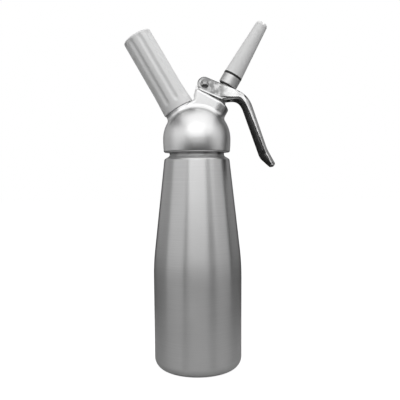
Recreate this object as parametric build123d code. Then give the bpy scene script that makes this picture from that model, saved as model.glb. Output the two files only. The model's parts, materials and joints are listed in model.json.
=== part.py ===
"""A cream whipper: a brushed bottle, a cast head with two arms, a charger holder and a lever-worked valve.

Millimetres. The bottle stands on Z = 0 on the Z axis, and both arms lean in the XZ plane: the charger arm
to -X and the nozzle arm to +X. Along each arm, lengths are counted from the centre of the head's dome.
"""
from build123d import *
import math
import os

# Bottle
BASE_RADIUS = 43.5
BELLY_RADIUS = 44.0
BELLY_HEIGHT = 104.5
BELLY_BLEND = 230.0
FOOT_ROUND = 10.5
SHOULDER_RADIUS = 32.4
SHOULDER_HEIGHT = 208.0
SHOULDER_ROUND = 1.2
SHOULDER_RISE = 1.5
SHOULDER_THICKNESS = 2.4
BOTTLE_WALL = 1.6
BOTTLE_FLOOR = 3.0
NECK_RADIUS = 27.6
NECK_WALL = 3.0
NECK_LENGTH = 20.0
NECK_ROOT_ROUND = 1.8
NECK_LIP_ROUND = 0.8

# Head casting
DOME_RADIUS = 33.5
SKIRT_GAP = 6.8
SKIRT_LENGTH = 12.9
SKIRT_CURVE = 120.0
SKIRT_ROUND = 1.5
HEAD_WALL = 5.5
SADDLE_BLEND = 5.0
SEAL_THICKNESS = 2.5
SEAL_WIDTH = 4.2

# Charger arm
ARM_LEAN = 30.0
COLLAR_RADIUS = 15.0
COLLAR_RISE = 1.2
SPIGOT_RADIUS = 10.8
SPIGOT_LENGTH = 12.3
SPIGOT_BORE = 7.0
INSERT_DEPTH = 4.7
INSERT_LENGTH = 10.0
NIPPLE_RADIUS = 3.2
NIPPLE_LENGTH = 8.0
NIPPLE_FLANGE = 4.6
NIPPLE_FLANGE_THICKNESS = 1.3
GAS_BORE = 0.6
GAS_PORT_RADIUS = 0.8
SLEEVE_WALL = 1.3
SLEEVE_LENGTH = 5.0
CHARGER_SEAL_THICKNESS = 2.0
CHARGER_SEAL_BORE = 1.6
NEEDLE_RADIUS = 1.0
NEEDLE_BORE = 0.4
NEEDLE_LENGTH = 11.0
NEEDLE_PROUD = 3.6
NEEDLE_GRIND = 30.0

# Gas charger and its holder
CHARGER_RADIUS = 8.95
CHARGER_LENGTH = 65.5
CHARGER_NECK_RADIUS = 4.4
CHARGER_NECK_LENGTH = 8.5
CHARGER_SHOULDER = 5.5
CHARGER_WALL = 1.6
CHARGER_MOUTH = 2.6
CAP_THICKNESS = 0.8
HOLDER_FOOT_RADIUS = 16.0
HOLDER_WAIST_RADIUS = 15.1
HOLDER_END_RADIUS = 14.8
HOLDER_FOOT_LENGTH = 22.0
HOLDER_END_WALL = 9.4
HOLDER_END_ROUND = 2.0
HOLDER_FOOT_ROUND = 0.8
HOLDER_WAIST_BLEND = 40.0
FLUTE_COUNT = 9
FLUTE_RADIUS = 3.6
FLUTE_DEPTH = 1.4
FLUTE_START = 14.0

# Valve, along the nozzle arm
SEAT_DEPTH = 5.5
STEM_RADIUS = 6.0
STEM_BORE_LENGTH = 6.5
STEM_BORE = 2.5
STEM_WAIST_RADIUS = 4.6
STEM_WAIST_LENGTH = 3.0
STEM_PORT_RADIUS = 1.2
STEM_THREAD_RADIUS = 3.9
STEM_THREAD_LENGTH = 13.0
DISC_RADIUS = 8.6
DISC_THICKNESS = 2.5
SEAT_MARGIN = 1.4
VALVE_SEAL_THICKNESS = 2.7
RING_SECTION_RADIUS = 0.68
RING_GROOVE_WIDTH = 1.8
POCKET_RADIUS = 8.3
SPRING_WIRE = 1.2
SPRING_TURNS = 5
SPRING_COLLAR_RADIUS = 7.4
SPRING_COLLAR_THICKNESS = 3.0

# Nozzle boss and lever post
BOSS_RADIUS = 13.0
BOSS_ROUND = 2.5
BOSS_KNEE = 24.7
BOSS_SLOPE = 24.0
KNEE_ROUND = 12.0
BLOCK_TILT = 4.8
POST_LEFT = 7.6
POST_DROP = 4.0
CRADLE_HALF_WIDTH = 9.5
POST_ROOT = 16.6
POST_ROUND = 3.0
POST_FOOT_ROUND = 2.0
LUG_RADIUS = 5.9
LUG_HALF_WIDTH = 7.5
LUG_FOOT = 9.0

# Lever and its pin
PIN_RISE = 16.2
PIN_OFFSET = 19.5
PIN_RADIUS = 2.5
PIN_HEAD_RADIUS = 4.15
PIN_HEAD_HEIGHT = 2.2
PIN_TAIL = 2.6
PIN_GROOVE = 0.6
CLIP_RADIUS = 4.6
CLIP_THICKNESS = 0.9
LEVER_SLOPE = 24.0
LEVER_TOP = 7.4
LEVER_BOTTOM = 6.5
LEVER_GAP = 0.3
LEVER_HALF_WIDTH = 11.2
LEVER_ARM_HALF_WIDTH = 10.8
LEVER_TIP_HALF_WIDTH = 10.0
LEVER_WAIST_DROP = 17.0
LEVER_WAIST_BLEND = 20.0
LEVER_TIP_ROUND = 4.0
LEVER_END = 7.3
LEVER_EDGE_ROUND = 1.6
FORK_INSET = 20.4
CHEEK_THICKNESS = 3.4
ROOF_THICKNESS = 3.0
ROOF_START = 8.5
PAD_HEIGHT = 1.3
PAD_RADIUS = 2.0
SLOT_PLAY = 1.1
ARM_HOLLOW = 2.8
ARM_SLOPE = 71.0
ARM_DEPTH = 9.2
BEVEL_WIDTH = 5.2
BEVEL_DEPTH = 4.8
BEVEL_RISE = 3.3
BEVEL_LEAD = 24.0
BEVEL_FADE = 4.0
BEVEL_RELIEF = 2.4
CROWN_WIDTH = 6.5
CROWN_DEPTH = 5.0
CROWN_RADIUS = 9.0
CROWN_LEAD = 28.0
CROWN_FADE = 18.0
ARM_LENGTH = 54.8
BEND_REACH = 43.4
BEND_RADIUS = 26.0
INNER_BEND_RADIUS = 13.0
LIP_LENGTH = 16.3
LIP_FLARE = 2.8
LIP_ROUND = 1.5
LIP_ROOT = 6.3
LIP_BLEND = 20.0
LIP_INNER_BLEND = 12.0
LIP_DROP = 2.9
LIP_THICKNESS = 4.2

# Nozzle
ADAPTER_AIR = 2.4
ADAPTER_RADIUS = 9.4
ADAPTER_LENGTH = 10.6
ADAPTER_NECK_RADIUS = 5.0
ADAPTER_SPIGOT_RADIUS = 6.2
ADAPTER_SPIGOT_LENGTH = 9.6
ADAPTER_BORE = 3.0
ADAPTER_ROUND = 0.6
TIP_SEAL_THICKNESS = 1.2
TIP_SEAL_RADIUS = 9.3
TIP_RADIUS = 9.3
TIP_END_RADIUS = 5.8
TIP_LENGTH = 58.6
TIP_BORE = 4.4
TIP_END_ROUND = 3.2
TIP_MOUTH = 2.2
MOUTH_TAPER = 6.0
NOTCH_COUNT = 4
NOTCH_DEPTH = 4.4
NOTCH_WIDTH = 3.6
NOTCH_TURN = 12.0

# Clearances
RUNNING_FIT = 0.05
THREAD_CLEARANCE = 0.3
SEAT_CLEARANCE = 0.05
FACE_CLEARANCE = 0.3
SPRING_AIR = 0.05
FORK_CLEARANCE = 0.1
SAME_PLACE = 0.01

# Heights and lengths that follow from the sizes above
skirt_height = SHOULDER_HEIGHT + SKIRT_GAP
dome_height = skirt_height + SKIRT_LENGTH
neck_top = SHOULDER_HEIGHT + NECK_LENGTH
neck_bore = NECK_RADIUS - NECK_WALL
seal_top = neck_top + SEAL_THICKNESS
lean = math.radians(ARM_LEAN)
slope = math.radians(LEVER_SLOPE)
collar_face = DOME_RADIUS + COLLAR_RISE
pin_height = DOME_RADIUS + PIN_RISE
under_start = BEND_REACH - FORK_INSET

# Each arm has its own plane: its Z runs out along the arm and its X lies in the plane of both arms
charger_arm = Plane(
    origin=(0, 0, dome_height),
    x_dir=(math.cos(lean), 0, math.sin(lean)),
    z_dir=(-math.sin(lean), 0, math.cos(lean)),
)
nozzle_arm = Plane(
    origin=(0, 0, dome_height),
    x_dir=(math.cos(lean), 0, -math.sin(lean)),
    z_dir=(math.sin(lean), 0, math.cos(lean)),
)
pin_centre = nozzle_arm.from_local_coords(Vector(-PIN_OFFSET, 0, pin_height))
lever_plane = Plane(
    origin=pin_centre,
    x_dir=(math.cos(slope), 0, -math.sin(slope)),
    z_dir=(0, -1, 0),
)


def outline(corners):
    """A closed face through corners given as (x, y, corner radius)."""
    points = [(x, y) for x, y, rounding in corners]
    radii = [rounding for x, y, rounding in corners]
    return make_face(FilletPolyline(*points, radius=radii, close=True))


def turned(corners):
    """A solid turned about Z from a profile of (radius, height, corner radius)."""
    return revolve(Plane.XZ * outline(corners), Axis.Z)


def along(arm, solid):
    """A solid made about Z, moved so that its Z runs along an arm."""
    return arm.location * solid


def rod(radius, low, high):
    """A plain round bar about Z between two heights."""
    return Pos(0, 0, low) * Cylinder(radius, high - low, align=(Align.CENTER, Align.CENTER, Align.MIN))


def ring(outer, inner, low, high):
    """A flat ring about Z between two heights."""
    return rod(outer, low, high) - rod(inner, low, high)


def slab(face, half_width):
    """A face of the XZ plane thickened to both sides of it."""
    return extrude(face, half_width, both=True)


def lever_line_height(offset):
    """Where a line of the lever, offset above the pin, crosses the nozzle's axis, along the nozzle arm."""
    turn = lean - slope
    return pin_height + PIN_OFFSET * math.tan(turn) + offset / math.cos(turn)


# Stack along the charger arm
insert_seat = collar_face - INSERT_DEPTH
insert_top = insert_seat + INSERT_LENGTH
charger_seal_top = insert_top + CHARGER_SEAL_THICKNESS
charger_start = charger_seal_top + FACE_CLEARANCE
charger_end = charger_start + CHARGER_LENGTH
spigot_top = collar_face + SPIGOT_LENGTH
holder_start = collar_face + FACE_CLEARANCE
holder_thread_top = spigot_top + FACE_CLEARANCE
holder_cavity_end = charger_end + FACE_CLEARANCE
holder_end = holder_cavity_end + HOLDER_END_WALL
nipple_end = insert_seat - NIPPLE_LENGTH
sleeve_start = nipple_end + NIPPLE_FLANGE_THICKNESS

# Stack along the nozzle arm
seat_height = DOME_RADIUS - SEAT_DEPTH
pocket_floor = seat_height + STEM_BORE_LENGTH
valve_seal_top = seat_height - SEAT_CLEARANCE
disc_top = valve_seal_top - VALVE_SEAL_THICKNESS
roof_top = lever_line_height(LEVER_TOP)
roof_underside = lever_line_height(LEVER_TOP - ROOF_THICKNESS)
pad_height = roof_underside - PAD_HEIGHT
collar_top = pad_height - FACE_CLEARANCE
stem_shoulder = collar_top - SPRING_COLLAR_THICKNESS
adapter_start = roof_top + ADAPTER_AIR
adapter_top = adapter_start + ADAPTER_LENGTH
adapter_spigot_top = adapter_top + ADAPTER_SPIGOT_LENGTH
stem_top = collar_top + STEM_THREAD_LENGTH
tip_start = adapter_top + TIP_SEAL_THICKNESS
tip_end = tip_start + TIP_LENGTH


def bottle():
    """A drawn bottle: round foot, near-straight belly, long cone, shoulder and neck, open at the top."""
    inner_shoulder = SHOULDER_HEIGHT - SHOULDER_THICKNESS
    outside = [
        (0, 0, 0),
        (BASE_RADIUS, 0, FOOT_ROUND),
        (BELLY_RADIUS, BELLY_HEIGHT, BELLY_BLEND),
        (SHOULDER_RADIUS, SHOULDER_HEIGHT, SHOULDER_ROUND),
        (NECK_RADIUS, SHOULDER_HEIGHT + SHOULDER_RISE, NECK_ROOT_ROUND),
        (NECK_RADIUS, neck_top, NECK_LIP_ROUND),
    ]
    inside = [
        (neck_bore, neck_top, NECK_LIP_ROUND),
        (neck_bore, inner_shoulder, NECK_LIP_ROUND),
        (SHOULDER_RADIUS - BOTTLE_WALL, inner_shoulder, SHOULDER_ROUND),
        (BELLY_RADIUS - BOTTLE_WALL, BELLY_HEIGHT, BELLY_BLEND),
        (BASE_RADIUS - BOTTLE_WALL, BOTTLE_FLOOR, FOOT_ROUND - BOTTLE_WALL),
        (0, BOTTLE_FLOOR, 0),
    ]
    return turned(outside + inside)


def head_gasket():
    """The flat ring between the bottle's lip and the head."""
    return ring(NECK_RADIUS, NECK_RADIUS - SEAL_WIDTH, neck_top, seal_top)


def head_dome():
    """The outside of the head without its arms: a half ball on a short skirt that draws in a little."""
    ball_top = dome_height + DOME_RADIUS
    diagonal = DOME_RADIUS * math.sqrt(0.5)
    turn = math.degrees(math.asin(SKIRT_LENGTH / SKIRT_CURVE))
    skirt = CenterArc((DOME_RADIUS - SKIRT_CURVE, dome_height), SKIRT_CURVE, 0, -turn)
    edges = [
        Line((0, ball_top), (0, skirt_height)),
        Line((0, skirt_height), skirt @ 1),
        skirt,
        ThreePointArc(skirt @ 0, (diagonal, dome_height + diagonal), (0, ball_top)),
    ]
    solid = revolve(Plane.XZ * make_face(edges), Axis.Z)
    return fillet(solid.edges().group_by(Axis.Z)[0], SKIRT_ROUND)


def arm_point(arm, across, out):
    """A point of the XZ plane, as (x, z), given across and out along an arm."""
    point = arm.from_local_coords(Vector(across, 0, out))
    return point.X, point.Z


def lever_point(x, y):
    """A point of the XZ plane, as (x, z), given along and above the lever's pin."""
    point = lever_plane.from_local_coords(Vector(x, y, 0))
    return point.X, point.Z


def lever_end():
    """Centre, as x and y in the lever's plane, and radius of the lever's round end."""
    radius = (LEVER_TOP + LEVER_BOTTOM) / 2
    return radius - LEVER_END, (LEVER_TOP - LEVER_BOTTOM) / 2, radius


def arm_block():
    """The casting under the lever: the post, whose lip cradles the lever's end, and the half-round boss."""
    saddle = collar_face - FACE_CLEARANCE - SEAT_CLEARANCE
    corners = [
        (*lever_point(-POST_LEFT, -POST_DROP), 0),
        (*arm_point(nozzle_arm, 0, pin_height), 0),
        (0, dome_height, 0),
        (*arm_point(charger_arm, 0, saddle), 0),
        (*arm_point(charger_arm, POST_ROOT, saddle), POST_FOOT_ROUND),
    ]
    side = Plane.XZ * outline(corners)
    post = slab(side, BOSS_RADIUS)
    low = corners[4][1] + POST_FOOT_ROUND
    upright = [edge for edge in post.edges() if abs(edge.tangent_at(0.5).Y) < SAME_PLACE]
    upright = [edge for edge in upright if edge.center().X < corners[0][0] and edge.center().Z > low]
    post = post.fillet(POST_ROUND, upright)
    block = post + along(nozzle_arm, rod(BOSS_RADIUS, 0, pin_height))
    end_x, end_y, end_radius = lever_end()
    cradle = end_radius + LEVER_GAP
    tilt = math.radians(BLOCK_TILT)
    left = end_x - cradle * math.sin(tilt)
    left_height = end_y - cradle * math.cos(tilt)
    knee = left_height - (BOSS_KNEE - left) * math.tan(tilt)
    above = outline([
        (left - BOSS_KNEE, left_height + BOSS_KNEE * math.tan(tilt), 0),
        (BOSS_KNEE, knee, KNEE_ROUND),
        (2 * BOSS_KNEE, knee - BOSS_KNEE * math.tan(math.radians(BOSS_SLOPE)), 0),
        (2 * BOSS_KNEE, 2 * BOSS_KNEE, 0),
        (left - BOSS_KNEE, 2 * BOSS_KNEE, 0),
    ])
    block = block - extrude(lever_plane * above, 2 * BOSS_RADIUS, both=True)
    steepest = math.cos(slope + 2 * math.radians(BOSS_SLOPE))
    tops = [face for face in block.faces() if face.normal_at().Z > steepest]
    tops = [face for face in tops if face.center().X > corners[0][0]]
    rims = [edge for face in tops for edge in face.edges() if not edge.is_interior]
    block = block.fillet(BOSS_ROUND, rims)
    big = 4 * BOSS_RADIUS
    reach = Pos(left, 0, 0) * Box(big, big, big, align=(Align.MAX, Align.CENTER, Align.CENTER))
    lip = slab(side, CRADLE_HALF_WIDTH) & (lever_plane * reach)
    return block + lip - lever_plane * Pos(end_x, end_y, 0) * Cylinder(cradle, big)


def lug():
    """The narrow ear on the post that carries the lever's pin."""
    root = -LEVER_BOTTOM - LEVER_GAP - LUG_RADIUS
    flank = [
        (-LUG_RADIUS, 0, 0),
        (-LUG_RADIUS, root, 0),
        (LUG_FOOT, root, 0),
        (LUG_FOOT, -LEVER_BOTTOM, 0),
        (LUG_RADIUS, 0, 0),
    ]
    side = outline(flank) + Circle(LUG_RADIUS)
    return extrude(lever_plane * side, LUG_HALF_WIDTH, both=True)


def head_outside():
    """Dome, collar, spigot, boss, post and lug as one casting, blended where they leave the dome."""
    body = head_dome() + along(charger_arm, rod(COLLAR_RADIUS, 0, collar_face)) + arm_block()
    ball_centre = Vector(0, 0, dome_height)
    roots = [
        edge
        for edge in body.edges()
        if abs((edge.position_at(0.4) - ball_centre).length - DOME_RADIUS) < SAME_PLACE
        and edge.position_at(0.4).Z > dome_height + SAME_PLACE
        and edge.length > SADDLE_BLEND
        and abs(edge.position_at(0.4).Y) > SAME_PLACE
    ]
    body = body.fillet(SADDLE_BLEND, roots)
    spigot = along(charger_arm, rod(SPIGOT_RADIUS, DOME_RADIUS, spigot_top))
    return body + spigot + lug()


def head_casting():
    """The head with its thread, chamber, valve seat, spring pocket, insert socket and pin hole."""
    chamber_radius = DOME_RADIUS - HEAD_WALL
    chamber = Pos(0, 0, dome_height) * Sphere(chamber_radius)
    chamber = chamber & rod(neck_bore, seal_top, dome_height + chamber_radius)
    thread = rod(NECK_RADIUS + THREAD_CLEARANCE, skirt_height, seal_top)
    seat = rod(DISC_RADIUS + SEAT_MARGIN, chamber_radius / 2, seat_height)
    valve_way = rod(STEM_RADIUS + RUNNING_FIT, seat_height, pocket_floor)
    pocket = rod(POCKET_RADIUS, pocket_floor, pin_height)
    gas_way = rod(NIPPLE_FLANGE + FACE_CLEARANCE, chamber_radius / 2, insert_seat)
    socket = rod(SPIGOT_BORE, insert_seat, spigot_top)
    pin_hole = lever_plane * Cylinder(PIN_RADIUS + SEAT_CLEARANCE, 4 * LUG_HALF_WIDTH)
    body = head_outside() - thread - chamber
    body = body - along(nozzle_arm, seat + valve_way + pocket)
    return body - along(charger_arm, gas_way + socket) - pin_hole


def piercing_insert():
    """The screwed-in plug that holds the needle; its hollow nipple lets the gas out under the sleeve."""
    needle_socket = insert_top + NEEDLE_PROUD - NEEDLE_LENGTH
    port_height = sleeve_start + SLEEVE_LENGTH / 2
    plug = turned([
        (0, nipple_end, 0),
        (NIPPLE_FLANGE, nipple_end, 0),
        (NIPPLE_FLANGE, nipple_end + NIPPLE_FLANGE_THICKNESS, 0),
        (NIPPLE_RADIUS, nipple_end + NIPPLE_FLANGE_THICKNESS, 0),
        (NIPPLE_RADIUS, insert_seat, 0),
        (SPIGOT_BORE - SEAT_CLEARANCE, insert_seat, 0),
        (SPIGOT_BORE - SEAT_CLEARANCE, insert_top, 0),
        (0, insert_top, 0),
    ])
    plug = plug - rod(NEEDLE_RADIUS, needle_socket, insert_top) - rod(GAS_BORE, port_height, insert_top)
    port = Pos(0, 0, port_height) * Rot(90, 0, 0) * Cylinder(GAS_PORT_RADIUS, 4 * NIPPLE_RADIUS)
    return along(charger_arm, plug - port)


def piercing_pin():
    """The hollow needle, ground to a slanting point."""
    top = insert_top + NEEDLE_PROUD
    needle = ring(NEEDLE_RADIUS, NEEDLE_BORE, top - NEEDLE_LENGTH, top)
    big = 8 * NEEDLE_RADIUS
    drop = NEEDLE_RADIUS * math.tan(math.radians(NEEDLE_GRIND))
    waste = Box(big, big, big, align=(Align.CENTER, Align.CENTER, Align.MIN))
    return along(charger_arm, needle - Pos(0, 0, top - drop) * Rot(0, NEEDLE_GRIND, 0) * waste)


def charger_seal():
    """The ring the charger's neck is pressed on."""
    outer = SPIGOT_BORE - SEAT_CLEARANCE
    return along(charger_arm, ring(outer, CHARGER_SEAL_BORE, insert_top, charger_seal_top))


def check_valve_sleeve():
    """The rubber sleeve over the nipple's port: gas lifts it, cream presses it shut."""
    bore = NIPPLE_RADIUS + SEAT_CLEARANCE
    low = sleeve_start + SEAT_CLEARANCE
    return along(charger_arm, ring(bore + SLEEVE_WALL, bore, low, low + SLEEVE_LENGTH))


def gas_charger():
    """A small drawn steel gas bulb: narrow neck, shoulder, straight body and round end."""
    neck_end = charger_start + CHARGER_NECK_LENGTH
    shoulder_end = neck_end + CHARGER_SHOULDER
    end_round = CHARGER_RADIUS - 2 * CHARGER_WALL
    inner_radius = CHARGER_RADIUS - CHARGER_WALL
    bulb = turned([
        (CHARGER_MOUTH, charger_start, 0),
        (CHARGER_NECK_RADIUS, charger_start, CHARGER_WALL / 2),
        (CHARGER_NECK_RADIUS, neck_end, 2 * CHARGER_WALL),
        (CHARGER_RADIUS, shoulder_end, 2 * CHARGER_WALL),
        (CHARGER_RADIUS, charger_end, end_round),
        (0, charger_end, 0),
        (0, charger_end - CHARGER_WALL, 0),
        (inner_radius, charger_end - CHARGER_WALL, end_round - CHARGER_WALL),
        (inner_radius, shoulder_end + CHARGER_WALL, CHARGER_WALL),
        (CHARGER_MOUTH, neck_end + CHARGER_WALL, CHARGER_WALL),
    ])
    return along(charger_arm, bulb)


def charger_cap():
    """The pierced foil disc in the charger's mouth."""
    low = charger_start + SEAT_CLEARANCE
    hole = NEEDLE_RADIUS + THREAD_CLEARANCE
    return along(charger_arm, ring(CHARGER_MOUTH - SEAT_CLEARANCE, hole, low, low + CAP_THICKNESS))


def charger_holder():
    """The fluted sleeve that screws on the spigot and presses the charger on its needle."""
    thread_bore = SPIGOT_RADIUS + THREAD_CLEARANCE
    cavity = CHARGER_RADIUS + FACE_CLEARANCE
    sleeve = turned([
        (thread_bore, holder_start, 0),
        (HOLDER_FOOT_RADIUS, holder_start, HOLDER_FOOT_ROUND),
        (HOLDER_WAIST_RADIUS, holder_start + HOLDER_FOOT_LENGTH, HOLDER_WAIST_BLEND),
        (HOLDER_END_RADIUS, holder_end, HOLDER_END_ROUND),
        (0, holder_end, 0),
        (0, holder_cavity_end, 0),
        (cavity, holder_cavity_end, HOLDER_END_ROUND),
        (cavity, holder_thread_top, 0),
        (thread_bore, holder_thread_top, 0),
    ])
    reach = HOLDER_WAIST_RADIUS + FLUTE_RADIUS - FLUTE_DEPTH
    low = holder_start + FLUTE_START
    cutter = Pos(reach, 0, low) * (rod(FLUTE_RADIUS, 0, holder_end - low) + Sphere(FLUTE_RADIUS))
    # The front, at -Y, lies midway between two flutes
    for index in range(FLUTE_COUNT):
        sleeve = sleeve - Rot(0, 0, (index + 0.5) * 360 / FLUTE_COUNT - 90) * cutter
    return along(charger_arm, sleeve)


def valve_stem():
    """The valve's hollow stem with its disc; cream enters by the cross ports above the seal."""
    waist_top = seat_height + STEM_WAIST_LENGTH
    groove_low = (waist_top + pocket_floor - RING_GROOVE_WIDTH) / 2
    groove_high = groove_low + RING_GROOVE_WIDTH
    groove = STEM_RADIUS - 2 * RING_SECTION_RADIUS - SEAT_CLEARANCE
    stem = turned([
        (0, disc_top - DISC_THICKNESS, 0),
        (DISC_RADIUS, disc_top - DISC_THICKNESS, DISC_THICKNESS / 3),
        (DISC_RADIUS, disc_top, 0),
        (STEM_WAIST_RADIUS, disc_top, 0),
        (STEM_WAIST_RADIUS, waist_top, 0),
        (STEM_RADIUS, waist_top, 0),
        (STEM_RADIUS, groove_low, 0),
        (groove, groove_low, 0),
        (groove, groove_high, 0),
        (STEM_RADIUS, groove_high, 0),
        (STEM_RADIUS, stem_shoulder, 0),
        (STEM_THREAD_RADIUS, stem_shoulder, 0),
        (STEM_THREAD_RADIUS, stem_top, 0),
        (STEM_BORE, stem_top, 0),
        (STEM_BORE, seat_height, 0),
        (0, seat_height, 0),
    ])
    port = Pos(0, 0, seat_height + STEM_WAIST_LENGTH / 2) * Rot(90, 0, 0)
    port = port * Cylinder(STEM_PORT_RADIUS, 4 * STEM_WAIST_RADIUS)
    return along(nozzle_arm, stem - port - Rot(0, 0, 90) * port)


def stem_o_ring():
    """The round-section ring that seals the stem in its bore."""
    waist_top = seat_height + STEM_WAIST_LENGTH
    section = Torus(STEM_RADIUS - RING_SECTION_RADIUS, RING_SECTION_RADIUS)
    return along(nozzle_arm, Pos(0, 0, (waist_top + pocket_floor) / 2) * section)


def valve_gasket():
    """The flat seal carried on the valve's disc."""
    bore = STEM_WAIST_RADIUS + SEAT_CLEARANCE
    return along(nozzle_arm, ring(DISC_RADIUS, bore, disc_top, valve_seal_top))


def spring_collar():
    """The loose washer on the stem's shoulder that the lever presses down and the spring lifts."""
    bore = STEM_THREAD_RADIUS + SEAT_CLEARANCE
    return along(nozzle_arm, ring(SPRING_COLLAR_RADIUS, bore, stem_shoulder, collar_top))


def valve_spring():
    """The coil spring between the pocket's floor and the collar."""
    wire = SPRING_WIRE / 2
    mean = STEM_RADIUS + FACE_CLEARANCE + wire
    low = pocket_floor + wire + SEAT_CLEARANCE
    high = stem_shoulder - wire - SPRING_AIR
    path = Pos(0, 0, low) * Helix((high - low) / SPRING_TURNS, high - low, mean)
    start = Plane(path @ 0, x_dir=(0, 0, 1), z_dir=path % 0)
    return along(nozzle_arm, sweep(start * Circle(wire), path))


def tip_adapter():
    """The turned piece screwed on the stem, with a neck through the lever and a spigot for the tip."""
    bore = STEM_THREAD_RADIUS + SEAT_CLEARANCE
    thread_top = stem_top + FACE_CLEARANCE
    piece = turned([
        (bore, collar_top, 0),
        (ADAPTER_NECK_RADIUS, collar_top, 0),
        (ADAPTER_NECK_RADIUS, adapter_start, 0),
        (ADAPTER_RADIUS, adapter_start, ADAPTER_ROUND),
        (ADAPTER_RADIUS, adapter_top, ADAPTER_ROUND),
        (ADAPTER_SPIGOT_RADIUS, adapter_top, 0),
        (ADAPTER_SPIGOT_RADIUS, adapter_spigot_top, ADAPTER_ROUND),
        (ADAPTER_BORE, adapter_spigot_top, 0),
        (ADAPTER_BORE, thread_top, 0),
        (bore, thread_top, 0),
    ])
    return along(nozzle_arm, piece)


def tip_seal():
    """The dark ring between the adapter and the tip."""
    bore = ADAPTER_SPIGOT_RADIUS + FACE_CLEARANCE
    return along(nozzle_arm, ring(TIP_SEAL_RADIUS, bore, adapter_top, tip_start))


def decorator_tip():
    """The long tapered tip; its domed end is cut by notches that shape the cream."""
    bore = ADAPTER_SPIGOT_RADIUS + THREAD_CLEARANCE
    thread_top = adapter_spigot_top + FACE_CLEARANCE
    tip = turned([
        (bore, tip_start, 0),
        (TIP_RADIUS, tip_start, 0),
        (TIP_END_RADIUS, tip_end, TIP_END_ROUND),
        (TIP_MOUTH, tip_end, 0),
        (TIP_BORE, tip_end - MOUTH_TAPER, 0),
        (TIP_BORE, thread_top, 0),
        (bore, thread_top, 0),
    ])
    half = NOTCH_WIDTH / 2
    notch = outline([(0, tip_end - NOTCH_DEPTH, 0), (half, tip_end, 0), (-half, tip_end, 0)])
    for index in range(NOTCH_COUNT):
        wedge = extrude(Plane.XZ * notch, 2 * TIP_RADIUS)
        tip = tip - Rot(0, 0, NOTCH_TURN + index * 360 / NOTCH_COUNT) * wedge
    return along(nozzle_arm, tip)


def arm_run(length, depth):
    """A point of the lever's arm, counted along it from the outer bend and inwards from its outer face."""
    turn = math.radians(ARM_SLOPE) - slope
    x = BEND_REACH + length * math.cos(turn) - depth * math.sin(turn)
    y = LEVER_TOP - length * math.sin(turn) - depth * math.cos(turn)
    return x, y


def inner_bend():
    """Where the level underside of the lever meets the inner face of its arm."""
    turn = math.radians(ARM_SLOPE) - slope
    start_x, start_y = arm_run(0, ARM_DEPTH)
    rise = math.tan(slope)
    drop = math.tan(turn)
    x = (start_y + drop * start_x + LEVER_BOTTOM + rise * under_start) / (rise + drop)
    return x, rise * (x - under_start) - LEVER_BOTTOM


def lever_side():
    """The lever seen from the side: fork, bend, arm and curled lip."""
    end_round = (LEVER_TOP + LEVER_BOTTOM) / 2 - SEAT_CLEARANCE
    return outline([
        (-LEVER_END, LEVER_TOP, end_round),
        (BEND_REACH, LEVER_TOP, BEND_RADIUS),
        (*arm_run(ARM_LENGTH, 0), LIP_BLEND),
        (*arm_run(ARM_LENGTH + LIP_LENGTH, -LIP_FLARE), LIP_ROUND),
        (*arm_run(ARM_LENGTH + LIP_LENGTH + LIP_DROP, LIP_THICKNESS - LIP_FLARE), LIP_ROUND),
        (*arm_run(ARM_LENGTH + LIP_ROOT, ARM_DEPTH), LIP_INNER_BLEND),
        (*inner_bend(), INNER_BEND_RADIUS),
        (under_start, -LEVER_BOTTOM, LIP_INNER_BLEND / 2),
        (-LEVER_END, -LEVER_BOTTOM, end_round),
    ])


def lever_front():
    """The lever seen from the nozzle's side: a wide fork that draws in to a slim arm."""
    top = lever_point(0, 2 * LEVER_TOP)[1]
    bend = lever_point(BEND_REACH, LEVER_TOP)[1]
    tip = lever_point(*arm_run(ARM_LENGTH + LIP_LENGTH + LIP_DROP, LIP_THICKNESS - LIP_FLARE))[1]
    right = [
        (LEVER_HALF_WIDTH, top, 0),
        (LEVER_HALF_WIDTH, bend, LEVER_WAIST_BLEND),
        (LEVER_ARM_HALF_WIDTH, bend - LEVER_WAIST_DROP, LEVER_WAIST_BLEND),
        (LEVER_TIP_HALF_WIDTH, tip, LEVER_TIP_ROUND),
    ]
    left = [(-x, y, rounding) for x, y, rounding in reversed(right)]
    return outline(right + left)


def arm_bevel():
    """What is cut off the near inner edge of the arm; it fades out under the fork."""
    bend_x, bend_y = inner_bend()
    bend_y = bend_y - BEVEL_RELIEF
    lead_drop = BEVEL_LEAD * math.tan(slope + math.radians(BEVEL_FADE))
    path = lever_plane * FilletPolyline(
        (bend_x - BEVEL_LEAD, bend_y - lead_drop),
        (bend_x, bend_y),
        arm_run(ARM_LENGTH + LIP_LENGTH, ARM_DEPTH - BEVEL_RISE),
        radius=INNER_BEND_RADIUS,
    )
    outer = (LEVER_ARM_HALF_WIDTH + BEVEL_WIDTH, -2 * BEVEL_DEPTH)
    inner = (LEVER_ARM_HALF_WIDTH - 2 * BEVEL_WIDTH, BEVEL_DEPTH)
    section = outline([(*outer, 0), (*inner, 0), (outer[0], inner[1], 0)])
    start = Plane(path @ 0, x_dir=(0, -1, 0), z_dir=path % 0)
    return sweep(start * section, path)


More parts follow.
